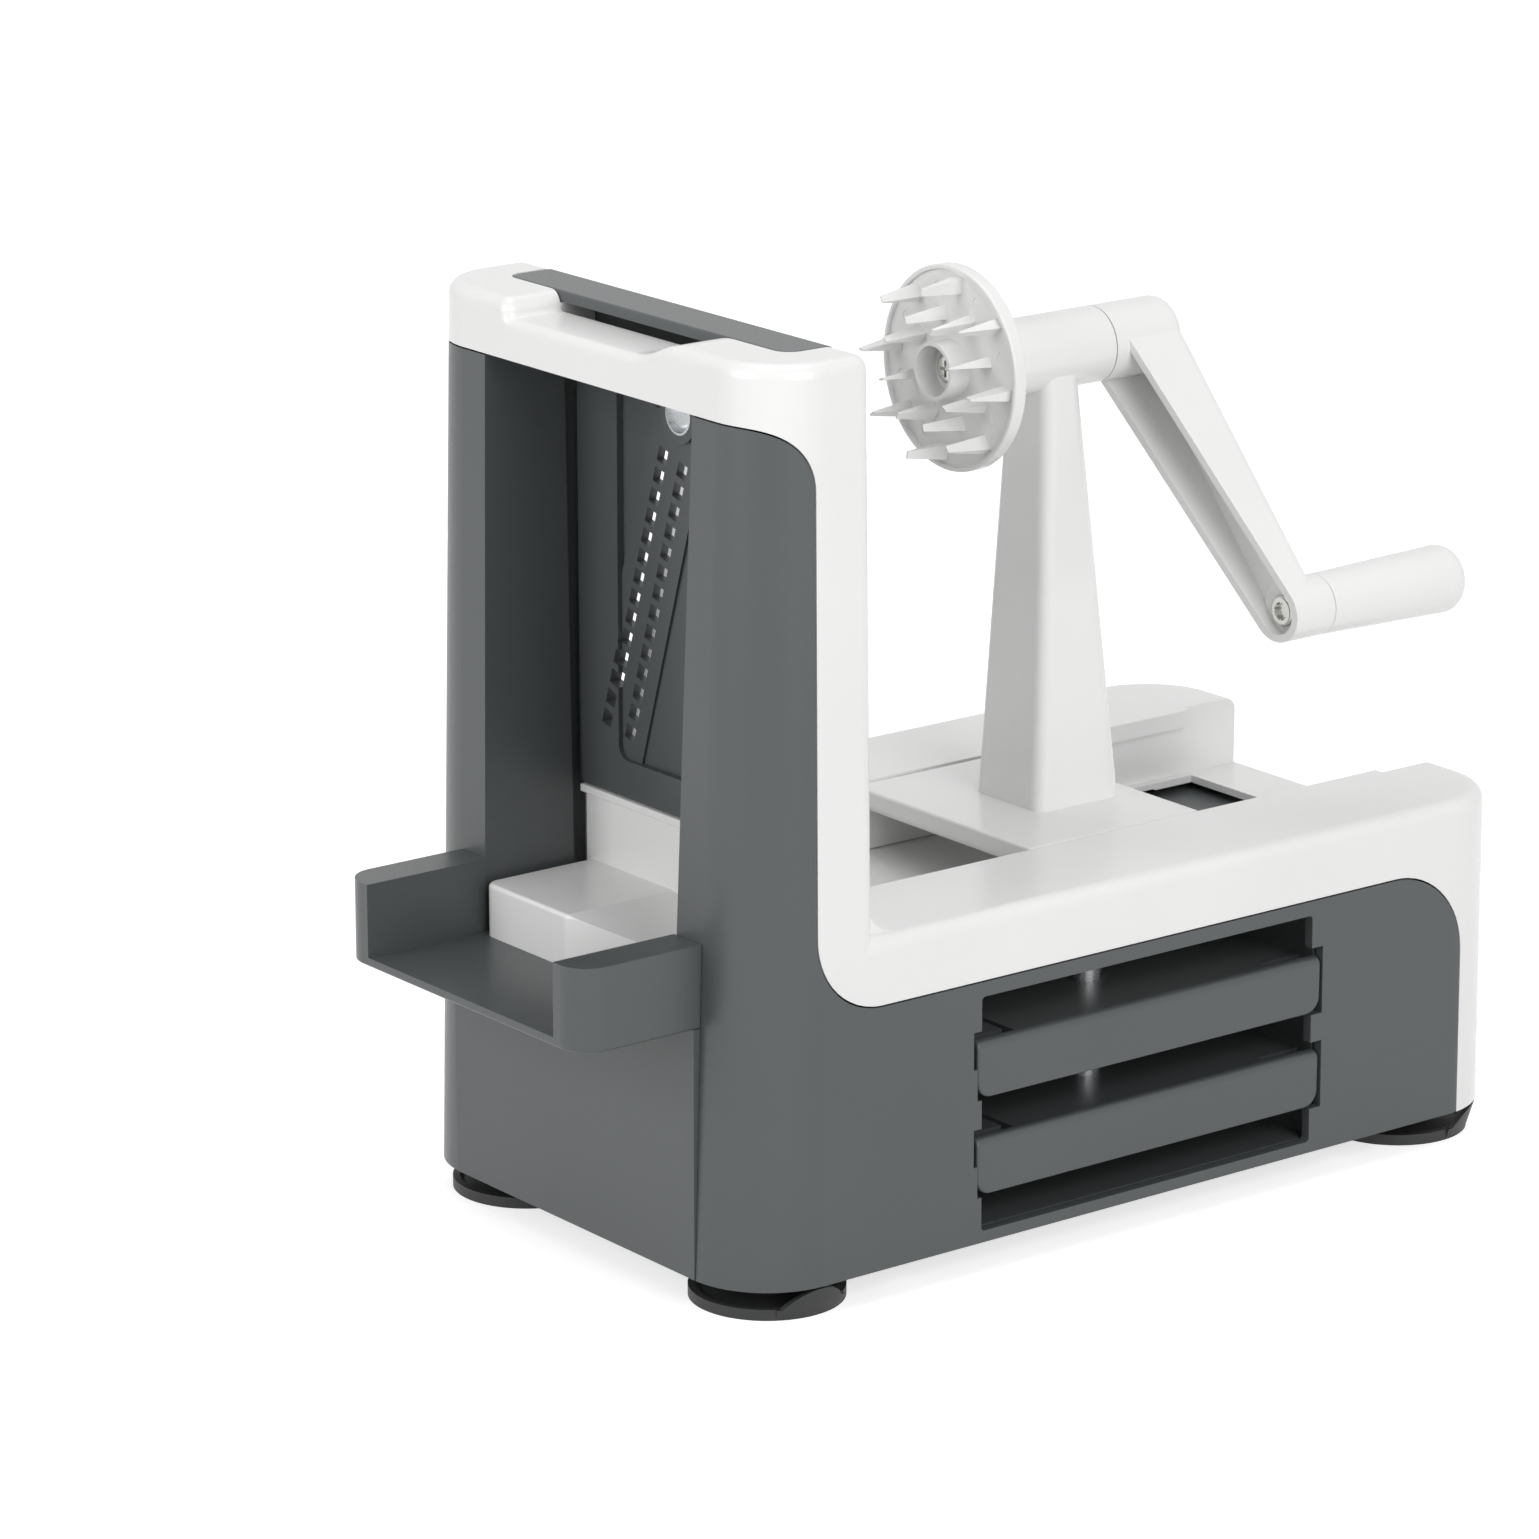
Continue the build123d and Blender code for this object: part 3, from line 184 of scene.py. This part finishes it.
# Turned steel under bright nickel: smooth, with faint rings from the lathe.
PLATED_STEEL = Finish("nickel_plated_steel", "CFCFCB", "BDBDB8", Texture.PLATED,
                      roughness=0.18, spread=0.05, relief_mm=0.4, relief=0.08, metallic=1.0)
# Natural polyamide of the bushes: warm white and slightly waxy.
NYLON = Finish("natural_nylon", "D8D5CB", "CFCBBF", Texture.POLISHED,
               roughness=0.42, spread=0.04, relief_mm=1.2, relief=0.05, subsurface=0.1)


class Paintbox:
    """Makes each finish once and hands it out."""

    def __init__(self) -> None:
        """Start with no material made."""
        self._made: dict[str, bpy.types.Material] = {}

    def get(self, finish: Finish) -> bpy.types.Material:
        """The material of a finish, made on first use."""
        if finish.name not in self._made:
            self._made[finish.name] = finish.make()
        return self._made[finish.name]

    def dress(self, thing: bpy.types.Object, finish: Finish) -> None:
        """Give every face of an object one finish.

        Args:
            thing: A node of the frame.
            finish: What it is made of.
        """
        thing.data.materials.clear()
        thing.data.materials.append(self.get(finish))
        LOG.info("%s is %s", thing.name, finish.name)


# ----------------------------------------------------------------------------- sub-assemblies
@dataclass
class SubAssembly:
    """A group of frame nodes on one body, with the finish of each."""

    nodes: Mapping[str, bpy.types.Object]
    paint: Paintbox
    body: str = ""
    finishes: dict[str, Finish] = field(default_factory=dict)

    def dress(self) -> None:
        """Give each of the group's frame nodes its finish."""
        for name, finish in self.finishes.items():
            self.paint.dress(self.nodes[name], finish)


@dataclass
class Housing(SubAssembly):
    """Grey shell, white housing, tray, chute, bottom plate, storage bay and feet."""

    body: str = "housing"

    def __post_init__(self) -> None:
        """List the finishes of the housing's nodes."""
        grey = ("base_shell", "outlet_tray", "bottom_plate", "insert_bay")
        self.finishes = {name: GREY_ABS for name in grey}
        self.finishes |= {name: WHITE_ABS for name in ("upper_housing", "outlet_chute")}
        corners = ("front_right", "front_left", "rear_right", "rear_left")
        self.finishes |= {f"suction_foot_{corner}": BLACK_RUBBER for corner in corners}
        self.finishes["bottom_screws"] = PLATED_STEEL


@dataclass
class Insert(SubAssembly):
    """One cutting insert: grey frame, ground blade and comb teeth."""

    def __post_init__(self) -> None:
        """List the finishes of the insert's nodes."""
        self.finishes = {f"{self.body}_{part}": BLADE_STEEL for part in ("blade", "teeth")}
        self.finishes |= {f"{self.body}_frame": GREY_ABS, f"{self.body}_core_ring": BLADE_STEEL}


@dataclass
class Carriage(SubAssembly):
    """Plate, chassis and tower that run between the rails."""

    body: str = "carriage"

    def __post_init__(self) -> None:
        """List the finishes of the carriage's nodes."""
        white = ("carriage_plate", "carriage_chassis", "carriage_tower")
        self.finishes = {name: WHITE_ABS for name in white}
        self.finishes |= {"tower_screws": PLATED_STEEL, "front_bush": NYLON, "rear_bush": NYLON}


@dataclass
class Crank(SubAssembly):
    """Shaft, spiked disc and crank arm that turn together."""

    body: str = "crank"

    def __post_init__(self) -> None:
        """List the finishes of the crank's nodes."""
        self.finishes = {name: WHITE_ABS for name in ("spiked_disc", "disc_spikes", "crank_arm")}
        steel = ("crank_shaft", "shaft_clip", "disc_screw", "grip_screw", "grip_axle")
        self.finishes |= {name: PLATED_STEEL for name in steel}


@dataclass
class Grip(SubAssembly):
    """Turning grip of the crank with its end plug."""

    body: str = "grip"

    def __post_init__(self) -> None:
        """List the finishes of the grip's nodes."""
        self.finishes = {name: WHITE_ABS for name in ("crank_grip", "grip_cap")}


# ----------------------------------------------------------------------------- studio
@dataclass(frozen=True)
class SoftBox:
    """A square lamp that faces the object."""

    name: str
    place: tuple[float, float, float]
    size: float
    watts: float

    def hang(self, target: Vector) -> None:
        """Hang the lamp and turn it to a point.

        Args:
            target: The point that the lamp faces.
        """
        data = bpy.data.lights.new(self.name, "AREA")
        data.shape = "SQUARE"
        data.size = self.size
        data.energy = self.watts
        lamp = bpy.data.objects.new(self.name, data)
        bpy.context.scene.collection.objects.link(lamp)
        lamp.location = self.place
        lamp.rotation_euler = (target - Vector(self.place)).to_track_quat("-Z", "Y").to_euler()


@dataclass
class Studio:
    """White table, soft lights and the camera at the photograph's viewing angle."""

    camera_place: tuple[float, float, float] = (-1.1203, -1.3814, 0.6353)
    heading_deg: float = 52.32
    pitch_deg: float = 16.185
    lens_mm: float = 152.2
    sensor_mm: float = 36.0
    clip: tuple[float, float] = (0.05, 60.0)
    table_size: float = 14.0
    table_shade: float = 0.72
    table_glow: float = 0.66
    room_light: float = 0.36
    lamp_target: tuple[float, float, float] = (0.0, 0.0, 0.1)
    lamps: tuple[SoftBox, ...] = (
        SoftBox("side_box", (-0.2, -2.2, 1.1), 1.6, 29.5),
        SoftBox("top_box", (0.3, 0.3, 2.4), 1.8, 15.0),
        SoftBox("front_box", (-2.4, 0.2, 1.0), 1.5, 25.0))

    def build(self) -> None:
        """Make the camera, the table, the world and the lights."""
        self._camera()
        self._table()
        self._world()
        self._lights()

    def _camera(self) -> None:
        """Set the camera where the photograph was taken from."""
        heading, pitch = math.radians(self.heading_deg), math.radians(self.pitch_deg)
        forward = Vector((math.cos(heading) * math.cos(pitch), math.sin(heading) * math.cos(pitch),
                          -math.sin(pitch)))
        right = Vector((math.sin(heading), -math.cos(heading), 0.0))
        up = right.cross(forward)
        data = bpy.data.cameras.new("camera")
        data.lens = self.lens_mm
        data.sensor_width = self.sensor_mm
        data.sensor_fit = "HORIZONTAL"
        data.clip_start, data.clip_end = self.clip
        camera = bpy.data.objects.new("camera", data)
        bpy.context.scene.collection.objects.link(camera)
        turn = Matrix((right, up, -forward)).transposed().to_4x4()
        camera.matrix_world = Matrix.Translation(self.camera_place) @ turn
        bpy.context.scene.camera = camera
        LOG.info("camera at %s", self.camera_place)

    @staticmethod
    def _seen_as_white(tree: bpy.types.NodeTree) -> bpy.types.NodeSocket:
        """One where a ray comes from the camera or from a mirror or glass, else nought.

        Args:
            tree: Node tree of the table or of the room.

        Returns:
            The socket with that number.
        """
        path = add_node(tree, "ShaderNodeLightPath")
        first = add_node(tree, "ShaderNodeMath", {"operation": "MAXIMUM"},
                         {0: path.outputs["Is Camera Ray"], 1: path.outputs["Is Glossy Ray"]})
        return add_node(tree, "ShaderNodeMath", {"operation": "MAXIMUM"},
                        {0: first.outputs[0], 1: path.outputs["Is Transmission Ray"]}).outputs[0]

    def _table(self) -> None:
        """Lay a white table that keeps the object's shadow."""
        mesh = bpy.data.meshes.new("studio_table")
        half = self.table_size / 2
        shape = bmesh.new()
        corners = [shape.verts.new((x, y, 0.0)) for x, y in
                   ((-half, -half), (half, -half), (half, half), (-half, half))]
        shape.faces.new(corners)
        shape.to_mesh(mesh)
        shape.free()
        table = bpy.data.objects.new("studio_table", mesh)
        bpy.context.scene.collection.objects.link(table)
        material = bpy.data.materials.new("studio_white")
        material.use_nodes = True
        tree = material.node_tree
        tree.nodes.clear()
        shade = (self.table_shade, self.table_shade, self.table_shade, 1.0)
        paper = add_node(tree, "ShaderNodeBsdfDiffuse", {"Color": shade})
        glow = add_node(tree, "ShaderNodeEmission", {"Color": WHITE, "Strength": self.table_glow})
        both = add_node(tree, "ShaderNodeAddShader", links={0: paper.outputs[0],
                                                            1: glow.outputs[0]})
        mix = add_node(tree, "ShaderNodeMixShader", links={0: self._seen_as_white(tree),
                                                           1: paper.outputs[0],
                                                           2: both.outputs[0]})
        add_node(tree, "ShaderNodeOutputMaterial", links={"Surface": mix.outputs[0]})
        mesh.materials.append(material)

    def _world(self) -> None:
        """Light the room with an even grey that the camera, mirrors and glass see as white."""
        world = bpy.data.worlds.new("studio_room")
        world.use_nodes = True
        bpy.context.scene.world = world
        tree = world.node_tree
        tree.nodes.clear()
        room = add_node(tree, "ShaderNodeBackground", {"Color": WHITE,
                                                       "Strength": self.room_light})
        seen = add_node(tree, "ShaderNodeBackground", {"Color": WHITE, "Strength": 1.0})
        mix = add_node(tree, "ShaderNodeMixShader", links={0: self._seen_as_white(tree),
                                                           1: room.outputs[0],
                                                           2: seen.outputs[0]})
        add_node(tree, "ShaderNodeOutputWorld", links={"Surface": mix.outputs[0]})

    def _lights(self) -> None:
        """Hang the soft boxes: beside the storage bay, overhead and before the tray."""
        for lamp in self.lamps:
            lamp.hang(Vector(self.lamp_target))


def main() -> None:
    """Load the frame, dress each sub-assembly and set up the studio."""
    logging.basicConfig(level=logging.INFO, format="%(name)s: %(message)s")
    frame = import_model()
    bpy.context.scene.view_settings.view_transform = "Standard"
    nodes, paint = frame["nodes"], Paintbox()
    groups: list[SubAssembly] = [Housing(nodes, paint), Carriage(nodes, paint),
                                 Crank(nodes, paint), Grip(nodes, paint)]
    groups += [Insert(nodes, paint, body) for body in ("working_insert", "upper_insert",
                                                       "lower_insert")]
    for group in groups:
        group.dress()
        LOG.info("%s is done", group.body)
    Studio().build()


if __name__ == "__main__":
    main()
